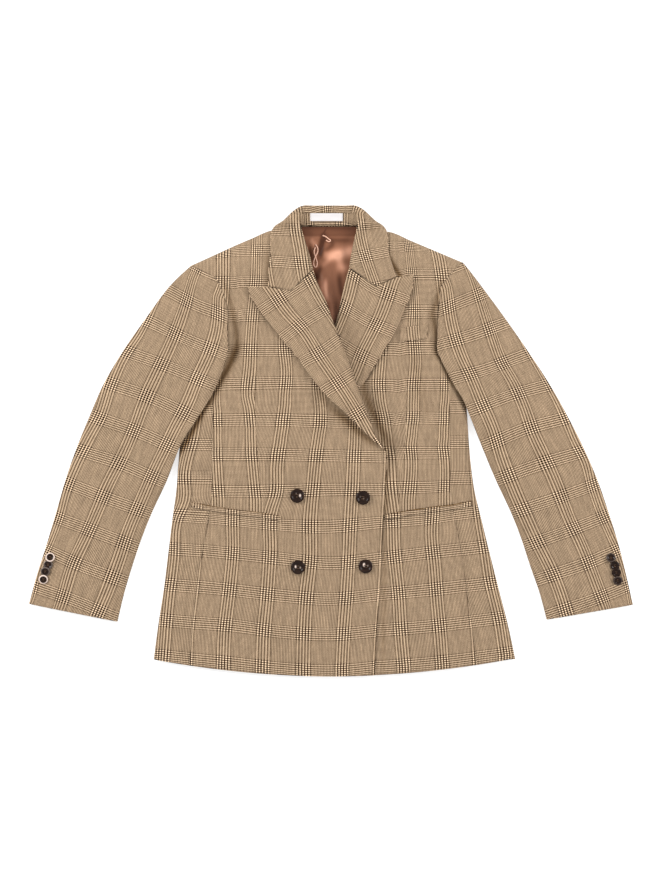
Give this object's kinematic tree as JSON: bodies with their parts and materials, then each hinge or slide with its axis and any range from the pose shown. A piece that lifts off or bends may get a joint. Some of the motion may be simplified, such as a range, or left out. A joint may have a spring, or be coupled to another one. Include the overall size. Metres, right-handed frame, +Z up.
{
  "type": "double breasted blazer",
  "caption": "Checked double breasted blazer with peak lapels, laid flat on its back with its fronts buttoned, sleeves beside the body.",
  "frame": {"origin": "centre of the blazer's outline, on the surface that its back lies on", "axes": "+X towards the wearer's left sleeve, +Y from the hem to the collar, +Z up, out of the fronts"},
  "size_m": [0.9806, 0.7637, 0.0291],
  "materials": {
    "suiting": "matte woven wool in a glen check",
    "satin": "smooth satin lining",
    "woven_label": "plain woven label",
    "horn": "polished dark horn look"
  },
  "bodies": {
    "root": {"back": "suiting", "side_panel_right": "suiting", "side_panel_left": "suiting", "front_right": "suiting", "front_left": "suiting", "lapel_right": "suiting", "lapel_left": "suiting", "top_sleeve_right": "suiting", "top_sleeve_left": "suiting", "under_sleeve_right": "suiting", "under_sleeve_left": "suiting", "hip_welt_right": "suiting", "hip_welt_left": "suiting", "breast_welt": "suiting", "collar_stand": "suiting", "collar": "suiting", "lining_back": "satin", "label": "woven_label", "front_button_1": "horn", "front_button_2": "horn", "front_button_3": "horn", "front_button_4": "horn", "cuff_button_right_1": "horn", "cuff_button_right_2": "horn", "cuff_button_right_3": "horn", "cuff_button_right_4": "horn", "cuff_button_left_1": "horn", "cuff_button_left_2": "horn", "cuff_button_left_3": "horn", "cuff_button_left_4": "horn"}
  },
  "joints": []
}
